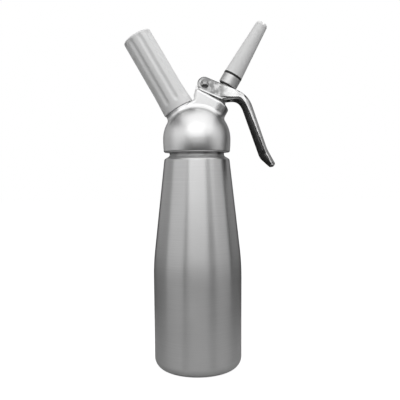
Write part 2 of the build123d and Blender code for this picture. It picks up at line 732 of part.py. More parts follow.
def arm_crown():
    """What is cut off the near outer edge of the arm to round its back; it fades out over the fork."""
    path = lever_plane * FilletPolyline(
        (BEND_REACH - CROWN_LEAD, LEVER_TOP + CROWN_LEAD * math.tan(math.radians(CROWN_FADE))),
        (BEND_REACH, LEVER_TOP),
        arm_run(ARM_LENGTH, 0),
        arm_run(ARM_LENGTH + 2 * LIP_LENGTH, -2 * LIP_FLARE),
        radius=[BEND_RADIUS, LIP_BLEND],
    )
    chord = math.hypot(CROWN_WIDTH, CROWN_DEPTH)
    back = math.sqrt(CROWN_RADIUS**2 - chord**2 / 4)
    centre_x = LEVER_ARM_HALF_WIDTH - CROWN_WIDTH / 2 - back * CROWN_DEPTH / chord
    centre_y = CROWN_DEPTH / 2 + back * CROWN_WIDTH / chord
    centre = Pos(centre_x, centre_y)
    corner = Rectangle(2 * CROWN_RADIUS, 2 * CROWN_RADIUS, align=(Align.MIN, Align.MAX))
    section = centre * (corner - Circle(CROWN_RADIUS))
    start = Plane(path @ 0, x_dir=(0, -1, 0), z_dir=path % 0)
    return sweep(start * section, path)


def lever_channel(half_width, far):
    """The hollow of the lever under its roof, as far down the arm as asked."""
    turn = math.radians(ARM_SLOPE) - slope
    corner = BEND_REACH - ROOF_THICKNESS * math.tan(turn / 2)
    roof = LEVER_TOP - ROOF_THICKNESS
    hollow = outline([
        (-2 * LEVER_END, roof, 0),
        (corner, roof, BEND_RADIUS - ROOF_THICKNESS),
        (*arm_run(far, ROOF_THICKNESS), ARM_DEPTH / 2),
        (*arm_run(far, 2 * ARM_DEPTH), 0),
        (-2 * LEVER_END, -2 * LEVER_BOTTOM, 0),
    ])
    return extrude(lever_plane * hollow, half_width, both=True)


def lever():
    """The cast lever: a fork over the lug, a roof with a slot for the adapter's neck, and the arm."""
    body = extrude(lever_plane * lever_side(), 2 * LEVER_HALF_WIDTH, both=True)
    front = extrude(Plane.YZ * lever_front(), 8 * LEVER_HALF_WIDTH, both=True)
    body = body & front
    body = body.fillet(LEVER_EDGE_ROUND, body.edges())
    for waste in (arm_bevel(), arm_crown()):
        body = body - waste - mirror(waste, about=Plane.XZ)
    fork_half = LEVER_HALF_WIDTH - CHEEK_THICKNESS
    big = 8 * LEVER_HALF_WIDTH
    side = (Align.MAX, Align.CENTER, Align.CENTER)
    fork_end = PIN_OFFSET + SPRING_COLLAR_RADIUS + FORK_CLEARANCE
    fork_reach = lever_plane * Pos(fork_end, 0, 0) * Box(big, big, big, align=side)
    body = body - lever_channel(ARM_HOLLOW, ARM_LENGTH - LIP_LENGTH)
    body = body - (lever_channel(fork_half, ARM_LENGTH - LIP_LENGTH) & fork_reach)
    opening = Box(4 * LEVER_END, 4 * LEVER_TOP, 2 * fork_half, align=side)
    opening = lever_plane * Pos(ROOF_START, 0, 0) * opening
    slot_half = ADAPTER_NECK_RADIUS + 2 * FACE_CLEARANCE
    slot = Pos(-SLOT_PLAY, 0, 0) * rod(slot_half, pad_height, adapter_start)
    slot = slot + Pos(SLOT_PLAY, 0, 0) * rod(slot_half, pad_height, adapter_start)
    middle = Box(2 * SLOT_PLAY, 2 * slot_half, adapter_start - pad_height)
    slot = slot + Pos(0, 0, (pad_height + adapter_start) / 2) * middle
    pad = Pos(0, 0, pad_height + PAD_RADIUS) * Rot(90, 0, 0) * Cylinder(PAD_RADIUS, 2 * fork_half)
    pin_hole = lever_plane * Cylinder(PIN_RADIUS + RUNNING_FIT, 4 * LEVER_HALF_WIDTH)
    body = body + along(nozzle_arm, pad)
    return body - opening - along(nozzle_arm, slot) - pin_hole


def lever_pin():
    """The rivet-headed pin the lever swings on."""
    front = LEVER_HALF_WIDTH + FACE_CLEARANCE
    back = LEVER_HALF_WIDTH + FACE_CLEARANCE + CLIP_THICKNESS + PIN_TAIL
    groove_low = LEVER_HALF_WIDTH + FACE_CLEARANCE
    groove_high = groove_low + CLIP_THICKNESS + SEAT_CLEARANCE
    groove = PIN_RADIUS - PIN_GROOVE
    pin = turned([
        (0, -back, 0),
        (PIN_RADIUS, -back, PIN_GROOVE),
        (PIN_RADIUS, -groove_high, 0),
        (groove, -groove_high, 0),
        (groove, -groove_low, 0),
        (PIN_RADIUS, -groove_low, 0),
        (PIN_RADIUS, front, 0),
        (PIN_HEAD_RADIUS, front, 0),
        (PIN_HEAD_RADIUS, front + PIN_HEAD_HEIGHT, PIN_HEAD_HEIGHT - SEAT_CLEARANCE),
        (0, front + PIN_HEAD_HEIGHT, 0),
    ])
    return lever_plane.location * pin


def pin_clip():
    """The snap ring in the pin's groove behind the lever."""
    low = LEVER_HALF_WIDTH + FACE_CLEARANCE
    bore = PIN_RADIUS - PIN_GROOVE + SEAT_CLEARANCE
    clip = ring(CLIP_RADIUS, bore, -low - CLIP_THICKNESS, -low)
    mouth = Box(2 * CLIP_RADIUS, 2 * bore - PIN_GROOVE, 2 * CLIP_THICKNESS)
    return lever_plane.location * (clip - Pos(CLIP_RADIUS, 0, -low - CLIP_THICKNESS / 2) * mouth)


NODES = [
    bottle,
    head_gasket,
    head_casting,
    piercing_insert,
    piercing_pin,
    charger_seal,
    check_valve_sleeve,
    gas_charger,
    charger_cap,
    charger_holder,
    valve_stem,
    stem_o_ring,
    valve_gasket,
    valve_spring,
    spring_collar,
    tip_adapter,
    tip_seal,
    decorator_tip,
    lever,
    lever_pin,
    pin_clip,
]


def main():
    """Writes one file for every piece."""
    os.makedirs("parts", exist_ok=True)
    for make in NODES:
        export_step(make(), f"parts/{make.__name__}.step")


if __name__ == "__main__":
    main()
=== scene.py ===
"""Looks of a cream whipper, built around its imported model: finishes, smooth shells and a studio."""

import json
import math
from typing import NamedTuple

import bpy
from mathutils import Matrix, Vector


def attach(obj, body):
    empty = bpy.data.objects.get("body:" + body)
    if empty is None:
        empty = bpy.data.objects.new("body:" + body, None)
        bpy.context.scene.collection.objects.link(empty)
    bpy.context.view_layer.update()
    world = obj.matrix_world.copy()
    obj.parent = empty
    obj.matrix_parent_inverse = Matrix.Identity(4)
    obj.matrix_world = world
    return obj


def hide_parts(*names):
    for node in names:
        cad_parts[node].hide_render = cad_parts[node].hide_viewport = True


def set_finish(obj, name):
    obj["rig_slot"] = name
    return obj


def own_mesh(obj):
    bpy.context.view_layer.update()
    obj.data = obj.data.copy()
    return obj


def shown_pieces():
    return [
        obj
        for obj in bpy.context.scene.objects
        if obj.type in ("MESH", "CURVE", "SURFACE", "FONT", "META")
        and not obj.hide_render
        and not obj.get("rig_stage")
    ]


bl_info = {
    "name": "Cream whipper",
    "version": (1, 0, 0),
    "blender": (4, 5, 0),
    "location": "View3D > Sidebar > Whipper",
    "description": "Dresses the packed cream whipper with smooth shells, finishes and a studio",
    "category": "Object",
}

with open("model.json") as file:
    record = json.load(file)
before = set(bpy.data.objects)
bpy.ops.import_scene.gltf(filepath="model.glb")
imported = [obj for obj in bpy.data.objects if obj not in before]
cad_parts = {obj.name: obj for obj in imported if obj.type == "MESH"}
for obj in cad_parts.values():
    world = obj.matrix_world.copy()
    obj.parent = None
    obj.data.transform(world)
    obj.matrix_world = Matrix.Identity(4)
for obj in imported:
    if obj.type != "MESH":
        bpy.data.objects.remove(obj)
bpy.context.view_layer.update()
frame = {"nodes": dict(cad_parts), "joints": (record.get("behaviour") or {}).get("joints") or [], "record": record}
JOINTS = {joint["name"]: joint for joint in frame["joints"]}

# The two arms lean from the dome's centre; their directions come from the joints along them
DOME_CENTRE = Vector(JOINTS["holder_turn"]["pos_m"])
CHARGER_AXIS = Vector(JOINTS["holder_turn"]["axis"])
NOZZLE_AXIS = Vector(JOINTS["tip_turn"]["axis"])
UP = Vector((0, 0, 1))
TO_CAMERA = Vector((0, -1, 0))
MM = 0.001

# The lever's fork slopes down from its pin; its bevel is filled out where it turns inwards far enough
LEVER_PIN = Vector(JOINTS["lever_swing"]["pos_m"])
LEVER_SLOPE = math.radians(24)
LEVER_UNDER = Matrix.Rotation(LEVER_SLOPE, 3, "Y") @ -UP
LEVER_INWARD = Vector((-0.75, 0.0, -0.66))
LEVER_FACING = 0.2

# How finely the pieces are divided
WELD = 0.001 * MM
SMOOTH_ANGLE = math.radians(35)
ARC_STEP = math.radians(5)
ARC_LEAST = 4
BOTTLE_SEGMENTS = 192
ROUND_SEGMENTS = 96
FLUTE_SEGMENTS = 32
FLUTE_STEP = 1.4 * MM
COIL_SEGMENTS = 48
WIRE_SEGMENTS = 12

# A thread's tooth: how far it sinks into its core, and half its foot and crest as shares of the pitch
THREAD_SINK = 0.3 * MM
THREAD_FOOT = 0.42
THREAD_CREST = 0.09

# The two patterns of the finishes, and the brushing of the bottle
GRAIN_DETAIL = 3.0
GRAIN_ROUGHNESS = 0.6
RING_DETAIL = 2.0
RING_STRETCH = 25.0
BRUSH_STRETCH = 0.8
BRUSH_TURN = 0.25

# The neck's painted highlight and painted shade: heights over which they come and go, and how strong they are
NECK_BRIGHT_IN = (208.6 * MM, 209.6 * MM)
NECK_DARK_IN = (211.1 * MM, 212.9 * MM)
NECK_DARK_OUT = (219.0 * MM, 216.5 * MM)
NECK_PAINTED_HIGHLIGHT = 0.38
NECK_PAINTED_SHADE = 0.60

# The skirt's painted shade, which also stands for raised lettering left off: heights, places to the side, and
# heights just above the rim, over which it comes
SKIRT_DOWN = (228.5 * MM, 215.5 * MM)
SKIRT_INWARD = (26.0 * MM, 2.0 * MM)
SKIRT_OFF_RIM = (215.2 * MM, 216.4 * MM)
SKIRT_PAINTED_SHADE = 0.62

# The crease's painted shade: places out from the valve's arm, heights, and places out from the dome's centre
CREASE_IN = (14.5 * MM, 16.0 * MM)
CREASE_OUT = (20.5 * MM, 17.5 * MM)
CREASE_UP = (238.0 * MM, 244.0 * MM)
CREASE_ON_DOME = (35.2 * MM, 34.4 * MM)
CREASE_PAINTED_SHADE = 0.35

# The lever's dull inner side: places out from the bottle's axis, and how far a face turns to the bottle
INNER_PAST_PIN = (16.0 * MM, 26.0 * MM)
INNER_FACING = (0.68, 0.78)
INNER_REACH = 6.0
INNER_DARKER = 0.88
INNER_DULLER = 2.5

# The fork's painted reflections: places out from the bottle and below the pin, how faces turn, and the grain's
# heights
FORK_BEFORE_BEND = (34.0 * MM, 22.0 * MM)
FORK_ABOVE_RIM = (5.7 * MM, 4.7 * MM)
CHEEK_FACING = (0.93, 0.99)
BLOTCH_HEIGHTS = (0.42, 0.70)
BLOTCH_DARKER = 0.68
BLOTCH_LIGHTER = 0.40
EDGE_FACING_IN = (0.70, 0.80)
EDGE_FACING_OUT = (0.99, 0.96)
EDGE_FACING_UP = (0.08, 0.18)
EDGE_DARKER = 0.85

# The floor's dull surface, and what the camera sees from and to
FLOOR_ROUGHNESS = 0.9
FLOOR_SPECULAR = 0.1
CLIP_START = 10.0 * MM
CLIP_END = 50.0


class Finish(NamedTuple):
    """A surface: its pattern, how fine that is, how far its tones spread, roughness and depth of bumps."""

    pattern: str
    fineness: float
    spread: float
    roughness: float = 1.0
    bumps: float = 0.0
    metallic: float = 1.0
    specular: float = 0.5


SMUDGES = Finish("grain", 30.0, 0.25)
FINISHES = {
    "brushed_aluminium": Finish("rings", 4200.0, 0.22, 0.35),
    "cast_aluminium": Finish("grain", 2600.0, 0.22, 0.37, 0.05 * MM),
    "chromed_casting": Finish("grain", 210.0, 0.5, 0.15, 0.18 * MM),
    "polished_pin": Finish("grain", 900.0, 0.3, 0.13, 0.02 * MM),
    "turned_steel": Finish("rings", 2600.0, 0.4, 0.50, 0.04 * MM),
    "light_plastic": Finish("grain", 1500.0, 0.08, 0.45, 0.004 * MM, metallic=0.0, specular=0.35),
    "black_rubber": Finish("grain", 1800.0, 0.5, 0.62, 0.04 * MM, metallic=0.0),
}

# Each lamp's bearing and rise in degrees, distance, width and height in metres, and power
LAMPS = {
    "left_box": (-62, 12, 1.2, 1.14, 1.2, 3.25),
    "left_back_box": (-117, 10, 1.2, 1.3, 1.2, 1.65),
    "front_box": (2, 24, 1.4, 1.45, 1.07, 6.0),
    "left_fill": (-31, 19, 1.4, 0.35, 0.4, 0.3),
    "right_fill": (43, 21, 1.4, 0.5, 0.4, 0.6),
    "right_box": (71, 12, 1.2, 1.0, 1.2, 2.25),
    "right_back_box": (125, 10, 1.2, 1.0, 1.2, 0.86),
    "top_box": (16, 70, 1.0, 1.75, 1.25, 7.0),
    "back_box": (180, 40, 1.3, 1.4, 1.0, 1.5),
    "key_box": (40, 66, 1.1, 0.8, 0.8, 3.0),
}
# Lamps that the metal doesn't mirror
UNMIRRORED = ("key_box",)


def amount(name, description, default, **kind):
    """A number, with its unit or subtype if it has one."""
    return bpy.props.FloatProperty(name=name, description=description, default=default, **kind)


def length(name, description, millimetres):
    """A size that the sidebar shows as a length."""
    return amount(name, description, millimetres * MM, unit="LENGTH", precision=5)


def grey(name, description, level):
    """A plain grey that the sidebar shows as a colour."""
    return bpy.props.FloatVectorProperty(
        name=name, description=description, default=(level, level, level), subtype="COLOR", min=0.0, max=1.0
    )


class BottleSizes(bpy.types.PropertyGroup):
    """The bottle, with heights above the floor."""

    base_radius: length("Base radius", "At the foot", 43.5)
    belly_radius: length("Belly radius", "At the widest place", 44.0)
    belly_height: length("Belly height", "Where the cone starts", 104.5)
    belly_blend: length("Belly blend", "Rounding from belly to cone", 230.0)
    foot_round: length("Foot round", "Rounding of the foot", 10.5)
    shoulder_radius: length("Shoulder radius", "Top of the cone", 32.4)
    shoulder_height: length("Shoulder height", "Top of the cone", 208.0)
    shoulder_round: length("Shoulder round", "Rounding of the cone's top edge", 2.5)
    shoulder_rise: length("Shoulder rise", "From the cone's top up to the neck", 3.3)
    shoulder_wall: length("Shoulder wall", "Thickness of the shoulder", 2.4)
    neck_core: length("Neck core", "Radius under the thread", 27.0)
    neck_crest: length("Neck crest", "Radius on the thread", 27.6)
    neck_root: length("Neck root", "Rounding where it leaves the shoulder", 3.0)
    neck_top: length("Neck top", "Height of the lip", 228.0)
    neck_bore: length("Neck bore", "Radius of the mouth", 24.6)
    lip_round: length("Lip round", "Rounding of the lip's edges", 0.7)
    wall: length("Wall", "Thickness of the side", 1.6)
    bottom: length("Bottom", "Thickness of the bottom", 3.0)
    pitch: length("Pitch", "Of the neck's thread", 3.5)
    thread_drop: length("Thread drop", "From the lip down to the thread", 1.5)
    turns: amount("Turns", "Of the neck's thread", 4.0)


class HolderSizes(bpy.types.PropertyGroup):
    """The charger holder, with places along its arm from the dome's centre."""

    start: length("Start", "Its open end", 35.0)
    end: length("End", "Its closed end", 117.5)
    foot_radius: length("Foot radius", "At the open end", 16.0)
    foot_round: length("Foot round", "Rounding of the open end", 0.8)
    waist_radius: length("Waist radius", "Above the foot", 15.1)
    waist: length("Waist", "Where the foot has narrowed", 57.0)
    waist_blend: length("Waist blend", "Rounding at the waist", 40.0)
    end_radius: length("End radius", "At the closed end", 14.8)
    end_round: length("End round", "Rounding of the closed end", 2.0)
    socket_radius: length("Socket radius", "Of the bore that takes the spigot", 11.1)
    socket_end: length("Socket end", "Where the spigot's bore stops", 47.3)
    socket_lip: length("Socket lip", "Rounding of the bore's mouth", 0.4)
    pocket_radius: length("Pocket radius", "Of the bore that takes the charger", 9.25)
    pocket_end: length("Pocket end", "Where the charger's bore stops", 108.1)
    flute_depth: length("Flute depth", "Below the surface", 1.3)
    flute_half: length("Flute half width", "To its soft edge", 3.6)
    flute_start: length("Flute start", "Centre of its round end", 45.0)
    flute_fade: length("Flute fade", "Over which it dies away at the closed end", 5.0)
    flute_turn: amount("Flute turn", "How far the flutes are turned", math.radians(-10.5), subtype="ANGLE")
    flutes: bpy.props.IntProperty(name="Flutes", description="How many there are", default=9)


class ThreadSizes(bpy.types.PropertyGroup):
    """The threads on the arms, with places along each arm from the dome's centre."""

    spigot_core: length("Spigot core", "Radius under the charger arm's thread", 10.8)
    spigot_crest: length("Spigot crest", "Radius on the charger arm's thread", 11.05)
    spigot_pitch: length("Spigot pitch", "Of the charger arm's thread", 1.8)
    spigot_low: length("Spigot low", "Where the charger arm's thread starts", 36.5)
    spigot_turns: amount("Spigot turns", "Of the charger arm's thread", 5.0)
    nozzle_core: length("Nozzle core", "Radius under the tip's thread", 6.2)
    nozzle_crest: length("Nozzle crest", "Radius on the tip's thread", 6.45)
    nozzle_pitch: length("Nozzle pitch", "Of the tip's thread", 1.5)
    nozzle_low: length("Nozzle low", "Where the tip's thread starts", 74.2)
    nozzle_turns: amount("Nozzle turns", "Of the tip's thread", 4.0)


class LeverSizes(bpy.types.PropertyGroup):
    """The lever's fork, and how its arm and bend are eased, with places in the frame of the model."""

    ease: length("Ease", "How far the arm goes out", 1.05)
    ease_start: length("Ease start", "Where the arm starts to go out", 24.0)
    ease_end: length("Ease end", "From where it is out all the way", 36.0)
    half_width: length("Half width", "From the middle to the fork's cheeks", 11.2)
    under: length("Under", "From the pin's line down to the fork's underside", 6.5)
    edge: length("Edge", "Rounding of the packed lever's edges", 1.6)
    bevel: length("Bevel", "Width of the packed lever's bevel", 2.9)
    fill_end: length("Fill end", "Up to where the bevel is filled out", 31.0)
    bevel_whole: length("Bevel whole", "From where the bevel is whole", 40.0)
    fill: amount("Fill", "Share of the bevel that is filled out", 0.62, subtype="FACTOR", min=0, max=1)
    lift: length("Lift", "How far the inside of the bend goes up", 1.9)
    lift_out: length("Lift out", "Middle of the lift, out from the bottle's axis", 35.5)
    lift_height: length("Lift height", "Middle of the lift, above the floor", 261.5)
    lift_reach: length("Lift reach", "From its middle to where it has died away along the lever", 13.0)
    lift_rise: length("Lift rise", "From its middle to where it has died away above and below", 6.5)


class PinSizes(bpy.types.PropertyGroup):
    """The pin that the lever swings on, with places along it from the lever's middle towards the camera."""

    radius: length("Radius", "Of the shank", 2.5)
    back: length("Back", "From the middle to the tail's end", 15.0)
    face: length("Face", "From the middle to the head, and to the groove", 11.5)
    groove: length("Groove", "Depth of the clip's groove", 0.6)
    groove_width: length("Groove width", "Of the clip's groove", 1.1)
    head_radius: length("Head radius", "Of the domed head", 4.15)
    head_height: length("Head height", "Of the domed head", 2.2)


class RingSizes(bpy.types.PropertyGroup):
    """The black rings at the tip's adapter, with places along its arm from the dome's centre: the tip's seal, and
    a ring under the adapter that is painted shade for the gap's shadow.
    """

    seal_radius: length("Seal radius", "Outside of the ring under the tip", 9.45)
    seal_low: length("Seal low", "Lower face of the ring under the tip", 71.1)
    seal_high: length("Seal high", "Upper face of the ring under the tip", 73.39)
    # The ring under the adapter is painted shade: a black ring for the shadow in the gap there
    shade_ring_radius: length("Washer radius", "Outside of the washer under the adapter", 8.2)
    shade_ring_low: length("Washer low", "Lower face of the washer under the adapter", 60.75)
    shade_ring_high: length("Washer high", "Upper face of the washer under the adapter", 61.6)
    bore: length("Bore", "Inside of both rings", 6.3)
    edge: length("Edge", "Rounding of both rings' edges", 0.15)


class SpringSizes(bpy.types.PropertyGroup):
    """The valve's spring, with places along its arm from the dome's centre."""

    low: length("Low", "Centre of its first turn", 35.15)
    high: length("High", "Centre of its last turn", 50.92)
    radius: length("Radius", "To the middle of the wire", 6.9)
    wire: length("Wire", "Radius of the wire", 0.6)
    turns: amount("Turns", "Of the coil", 5.0)


class FinishColours(bpy.types.PropertyGroup):
    """The colours of the finishes."""

    bottle: grey("Bottle", "Brushed aluminium", 0.70)
    head: grey("Head", "Blasted casting", 0.86)
    lever: grey("Lever", "Plated casting", 0.74)
    pin: grey("Pin", "Polished pin through the lever", 0.34)
    steel: grey("Steel", "Turned and drawn pieces", 0.78)
    plastic: grey("Plastic", "Charger holder and tip", 0.74)
    rubber: grey("Rubber", "Rings and gaskets", 0.02)
    floor: grey("Floor", "Floor under the bottle", 0.37)
    floor_away: grey("Floor away", "Floor well away from the bottle", 0.10)


class StageSizes(bpy.types.PropertyGroup):
    """The studio round the whipper."""

    camera_distance: length("Camera distance", "From the bottle's axis", 550.0)
    camera_height: length("Camera height", "Above the floor", 189.7)
    camera_side: length("Camera side", "To the right of the bottle's axis", 2.8)
    camera_dip: amount("Camera dip", "How far it looks down", 0.0405, subtype="ANGLE")
    camera_roll: amount("Camera roll", "Turn about its own line of sight", -0.0068, subtype="ANGLE")
    film: amount("Film", "Width of the film", 36.0, unit="CAMERA")
    lens: amount("Lens", "Focal length", 49.5, unit="CAMERA")
    floor_size: length("Floor size", "Side of the square floor", 8000.0)
    floor_near: length("Floor near", "Where the floor starts to darken", 80.0)
    floor_far: length("Floor far", "Where the floor has darkened", 400.0)
    floor_glow: amount("Floor glow", "Light that the floor itself shows the camera", 0.92)
    lamp_aim: length("Lamp aim", "Height that the lamps point at", 200.0)
    ambient: amount("Ambient", "Brightness of the room outside the lamps", 0.07)


def deselect():
    """Nothing selected, so that an operator acts on the new piece alone."""
    if bpy.context.object and bpy.context.object.mode != "OBJECT":
        bpy.ops.object.mode_set(mode="OBJECT")
    bpy.ops.object.select_all(action="DESELECT")


def rounded(corners):
    """Points of a profile through corners given as (radius, height, rounding)."""
    points = []
    for index, (radius, height, rounding) in enumerate(corners):
        place = Vector((radius, height))
        if not rounding:
            points.append(place)
            continue
        back = (Vector(corners[index - 1][:2]) - place).normalized()
        ahead = (Vector(corners[index + 1][:2]) - place).normalized()
        half = back.angle(ahead) / 2
        centre = place + (back + ahead).normalized() * rounding / math.sin(half)
        start = place + back * rounding / math.tan(half) - centre
        sweep = back.angle_signed(-ahead)
        count = max(ARC_LEAST, math.ceil(abs(sweep) / ARC_STEP))
        for number in range(count + 1):
            points.append(centre + Matrix.Rotation(-sweep * number / count, 2) @ start)
    return points


def divided(points, longest):
    """The same profile with points added, so that no stretch is longer than a length."""
    result = [points[0]]
    for before, after in zip(points, points[1:]):
        count = math.ceil((after - before).length / longest)
        result += [before.lerp(after, (number + 1) / count) for number in range(count)]
    return result


def drawn(name, points):
    """A new object, left in edit mode, whose one line runs through points of (radius, height)."""
    deselect()
    bpy.ops.mesh.primitive_plane_add(size=MM)
    piece = bpy.context.object
    piece.name = name
    bpy.ops.object.mode_set(mode="EDIT")
    bpy.ops.mesh.select_all(action="SELECT")
    bpy.ops.mesh.merge(type="CENTER")
    bpy.ops.transform.translate(value=(points[0].x, 0, points[0].y))
    for before, after in zip(points, points[1:]):
        step = after - before
        bpy.ops.mesh.extrude_vertices_move(TRANSFORM_OT_translate={"value": (step.x, 0, step.y)})
    return piece


def closed(piece):
    """Merges a shape's seam and poles and turns its faces outwards."""
    bpy.ops.mesh.select_all(action="SELECT")
    bpy.ops.mesh.remove_doubles(threshold=WELD)
    bpy.ops.mesh.normals_make_consistent(inside=False)
    bpy.ops.object.mode_set(mode="OBJECT")
    bpy.ops.object.shade_smooth_by_angle(angle=SMOOTH_ANGLE)
    return piece


def spun(name, points, segments):
    """A profile spun round the Z axis."""
    piece = drawn(name, points)
    bpy.ops.mesh.select_all(action="SELECT")
    bpy.ops.mesh.spin(steps=segments, angle=2 * math.pi, center=(0, 0, 0), axis=(0, 0, 1))
    return closed(piece)


def wound(piece, turns, climb, segments):
    """A closed outline wound up the Z axis by a screw modifier, with its two ends filled."""
    bpy.ops.object.mode_set(mode="OBJECT")
    winding = piece.modifiers.new("winding", "SCREW")
    winding.angle = 2 * math.pi * turns
    winding.screw_offset = climb
    winding.steps = math.ceil(segments * turns)
    winding.render_steps = winding.steps
    winding.use_merge_vertices = False
    bpy.ops.object.modifier_apply(modifier=winding.name)
    bpy.ops.object.mode_set(mode="EDIT")
    bpy.ops.mesh.select_all(action="SELECT")
    bpy.ops.mesh.fill_holes(sides=0)
    return closed(piece)


def thread(name, core, crest, pitch, low, turns):
    """A screw thread on a round core, which dies away over its first and last half turn."""
    foot = pitch * THREAD_FOOT
    flat = pitch * THREAD_CREST
    root = core - THREAD_SINK
    tooth = [(root, low - foot), (crest, low - flat), (crest, low + flat), (root, low + foot)]
    piece = drawn(name, [Vector(point) for point in tooth + tooth[:1]])
    bpy.ops.mesh.select_all(action="SELECT")
    bpy.ops.mesh.remove_doubles(threshold=WELD)
    wound(piece, turns, pitch * turns, ROUND_SEGMENTS)
    for vertex in piece.data.vertices:
        climbed = (vertex.co.z - low) / pitch
        share = min(max(2 * min(climbed, turns - climbed), 0.0), 1.0)
        radius = math.hypot(vertex.co.x, vertex.co.y)
        wanted = root + (radius - root) * share
        vertex.co.x *= wanted / radius
        vertex.co.y *= wanted / radius
    return piece


def on_arm(piece, axis, start=DOME_CENTRE):
    """Moves a piece made about Z so that its Z runs along an axis, and puts its place in its mesh."""
    lean = UP.rotation_difference(axis)
    piece.matrix_world = Matrix.Translation(start) @ lean.to_matrix().to_4x4()
    deselect()
    piece.select_set(True)
    bpy.context.view_layer.objects.active = piece
    bpy.ops.object.transform_apply(location=True, rotation=True, scale=True)
    return piece


def eased(value, low, high):
    """A share that rises softly from nought at one value to one at another."""
    share = min(max((value - low) / (high - low), 0.0), 1.0)
    return share * share * (3 - 2 * share)


def carried(piece, body, slot, *stands_for):
    """The piece rides on a body, takes a slot's finish and may stand for nodes of the model."""
    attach(piece, body)
    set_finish(piece, slot)
    if stands_for:
        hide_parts(*stands_for)


def link(tree, source, target):
    """Joins an output socket to an input socket."""
    tree.links.new(source, target)


def new_material(name):
    """An empty material and its tree, ready for nodes."""
    material = bpy.data.materials.new(name)
    material.use_nodes = True
    return material, material.node_tree


def combined(tree, operation, *values):
    """One sum, product or the like of sockets or numbers."""
    node = tree.nodes.new("ShaderNodeMath")
    node.operation = operation
    for socket, value in zip(node.inputs, values):
        if isinstance(value, bpy.types.NodeSocket):
            link(tree, value, socket)
        else:
            socket.default_value = value
    return node.outputs["Value"]


def ramp(tree, value, low, high):
    """A mask that rises smoothly from nought at one value to one at another."""
    node = tree.nodes.new("ShaderNodeMapRange")
    node.interpolation_type = "SMOOTHSTEP"
    node.inputs["From Min"].default_value = low
    node.inputs["From Max"].default_value = high
    link(tree, value, node.inputs["Value"])
    return node.outputs["Result"]


def pattern_group(name, count):
    """A shader node group with a place, a count and a spread, which gives a tone about one and a height."""
    group = bpy.data.node_groups.new(name, "ShaderNodeTree")
    group.interface.new_socket("Vector", in_out="INPUT", socket_type="NodeSocketVector")
    for label in (count, "Spread"):
        group.interface.new_socket(label, in_out="INPUT", socket_type="NodeSocketFloat")
    for label in ("Tone", "Height"):
        group.interface.new_socket(label, in_out="OUTPUT", socket_type="NodeSocketFloat")
    given = group.nodes.new("NodeGroupInput")
    result = group.nodes.new("NodeGroupOutput")
    noise = group.nodes.new("ShaderNodeTexNoise")
    centred = combined(group, "SUBTRACT", noise.outputs["Fac"], 0.5)
    tone = combined(group, "MULTIPLY_ADD", centred, given.outputs["Spread"], 1.0)
    link(group, tone, result.inputs["Tone"])
    link(group, noise.outputs["Fac"], result.inputs["Height"])
    return group, given, noise


def grain_group():
    """Fine even grain, as on a blasted casting or a moulding."""
    group, given, noise = pattern_group("fine_grain", "Scale")
    noise.inputs["Detail"].default_value = GRAIN_DETAIL
    noise.inputs["Roughness"].default_value = GRAIN_ROUGHNESS
    link(group, given.outputs["Vector"], noise.inputs["Vector"])
    link(group, given.outputs["Scale"], noise.inputs["Scale"])
    return group


def rings_group():
    """Fine rings round the local Z axis, as left by a brush or a lathe tool."""
    group, given, noise = pattern_group("tool_rings", "Rings")
    stretch = group.nodes.new("ShaderNodeCombineXYZ")
    stretch.inputs["X"].default_value = RING_STRETCH
    stretch.inputs["Y"].default_value = RING_STRETCH
    link(group, given.outputs["Rings"], stretch.inputs["Z"])
    scaled = group.nodes.new("ShaderNodeVectorMath")
    scaled.operation = "MULTIPLY"
    link(group, given.outputs["Vector"], scaled.inputs[0])
    link(group, stretch.outputs["Vector"], scaled.inputs[1])
    noise.inputs["Scale"].default_value = 1.0
    noise.inputs["Detail"].default_value = RING_DETAIL
    link(group, scaled.outputs["Vector"], noise.inputs["Vector"])
    return group


def coordinate(tree, kind):
    """A place or a direction on the piece itself, in its own frame."""
    return tree.nodes.new("ShaderNodeTexCoord").outputs[kind]


def parted(tree, vector):
    """The X, Y and Z of a vector."""
    parts = tree.nodes.new("ShaderNodeSeparateXYZ")
    link(tree, vector, parts.inputs["Vector"])
    return parts.outputs


def along(tree, vector, direction):
    """How far a vector goes along a direction."""
    node = tree.nodes.new("ShaderNodeVectorMath")
    node.operation = "DOT_PRODUCT"
    node.inputs[1].default_value = direction
    link(tree, vector, node.inputs[0])
    return node.outputs["Value"]


def product(tree, first, *others):
    """Several sockets or numbers multiplied together."""
    for other in others:
        first = combined(tree, "MULTIPLY", first, other)
    return first


def placed(tree, groups, finish, turn=None):
    """A finish's tone and height, on Object coordinates turned so that an arm's axis lies along Z."""
    node = tree.nodes.new("ShaderNodeGroup")
    node.node_tree = groups[finish.pattern]
    node.inputs[1].default_value = finish.fineness
    node.inputs["Spread"].default_value = finish.spread
    place = coordinate(tree, "Object")
    if turn:
        mapping = tree.nodes.new("ShaderNodeMapping")
        mapping.inputs["Rotation"].default_value = turn
        link(tree, place, mapping.inputs["Vector"])
        place = mapping.outputs["Vector"]
    link(tree, place, node.inputs["Vector"])
    return node.outputs


def new_finish(name, groups, kind=None, turn=None):
    """A new material, its tree, its finish and that finish's pattern."""
    material, tree = new_material(name)
    finish = FINISHES[kind or name]
    return material, tree, finish, placed(tree, groups, finish, turn)


